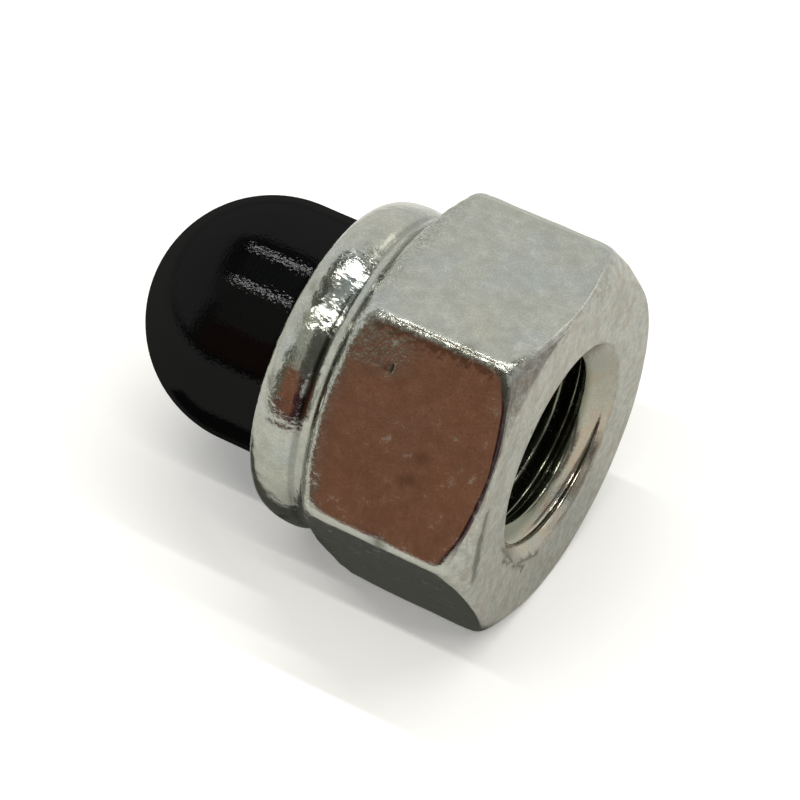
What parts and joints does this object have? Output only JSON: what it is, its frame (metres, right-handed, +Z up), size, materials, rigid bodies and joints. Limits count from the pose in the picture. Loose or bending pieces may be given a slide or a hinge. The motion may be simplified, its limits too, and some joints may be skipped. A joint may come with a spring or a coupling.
{
  "type": "domed cap lock nut",
  "caption": "Hexagon nut with a countersunk threaded bore and a rolled collar that holds a domed black plastic cap.",
  "frame": {"origin": "centre of the bounding box on the ground, below the thread's axis; the nut lies on one of its flats as in the picture", "axes": "+X along the thread's axis, out of the open end; +Z up, square to the flat that faces up; the dome points along -X"},
  "size_m": [0.0216, 0.0194, 0.017],
  "materials": {
    "zinc_steel": "bright zinc plating on cold formed steel, semi-mirror with fine mottling, small dents and scratches",
    "black_plastic": "moulded black nylon, satin gloss, with a few hairline scratches"
  },
  "bodies": {
    "root": {"nut_body": "zinc_steel", "dome_cap": "black_plastic"}
  },
  "joints": []
}
